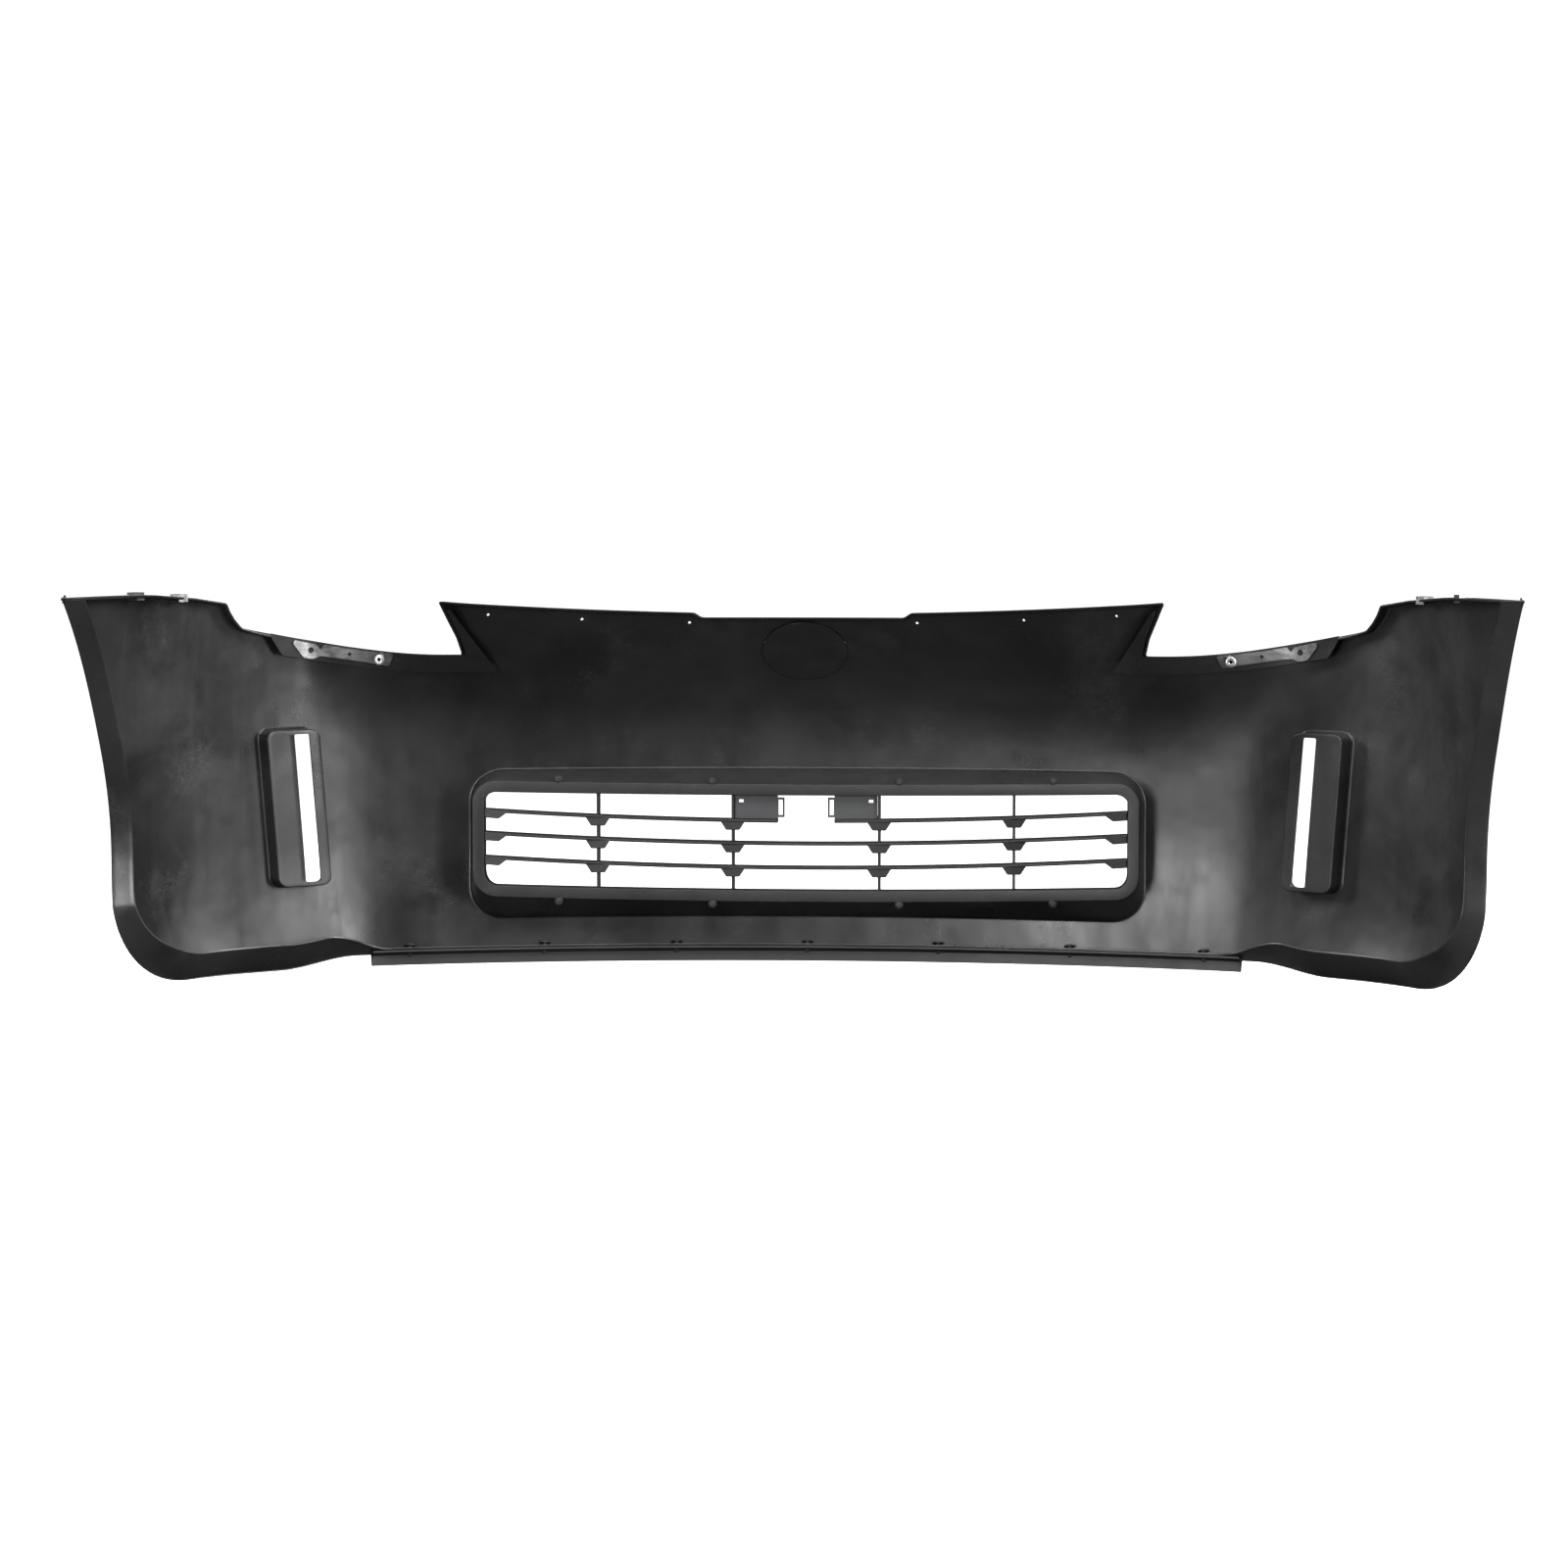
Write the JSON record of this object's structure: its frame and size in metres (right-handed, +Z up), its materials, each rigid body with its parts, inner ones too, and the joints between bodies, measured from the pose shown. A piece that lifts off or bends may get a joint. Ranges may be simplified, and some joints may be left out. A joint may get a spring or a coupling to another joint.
{
  "type": "bumper cover",
  "caption": "Wrap-round front bumper cover with an open lower grille, marker-lamp pockets, lamp cut-outs, wheel-arch ends and a separate lower lip.",
  "frame": {"origin": "middle of the cover's box, on the level its feet and lower lip stand on", "axes": "+Z up, +Y to the front of the car, +X to the right of somebody who stands behind the cover and looks forward"},
  "size_m": [1.7796, 0.5568, 0.5072],
  "materials": {
    "skin": "satin black moulded plastic with flow lines and light scuffs",
    "grille": "fine-grained black plastic",
    "plate_bracket": "dark grey plastic",
    "steel": "brushed plated sheet steel",
    "lip": "black flexible plastic",
    "clip": "black nylon"
  },
  "bodies": {
    "root": {"cover_skin": "skin", "grille_frame": "grille", "slat_upper_left": "grille", "slat_middle_left": "grille", "slat_lower_left": "grille", "rib_outer_left": "grille", "rib_inner_left": "grille", "plate_bracket_left": "plate_bracket", "lamp_bracket_left": "steel", "lamp_rivet_left": "steel", "fender_nut_left_1": "steel", "fender_nut_left_2": "steel", "slat_upper_right": "grille", "slat_middle_right": "grille", "slat_lower_right": "grille", "rib_outer_right": "grille", "rib_inner_right": "grille", "plate_bracket_right": "plate_bracket", "lamp_bracket_right": "steel", "lamp_rivet_right": "steel", "fender_nut_right_1": "steel", "fender_nut_right_2": "steel", "grille_screw_1": "clip", "grille_screw_2": "clip", "grille_screw_3": "clip", "grille_screw_4": "clip", "grille_screw_5": "clip", "grille_screw_6": "clip", "grille_screw_7": "clip", "grille_screw_8": "clip", "lower_lip": "lip", "lip_clip_1": "clip", "lip_clip_2": "clip", "lip_clip_3": "clip", "lip_clip_4": "clip", "lip_clip_5": "clip", "lip_clip_6": "clip", "lip_clip_7": "clip"}
  },
  "joints": []
}
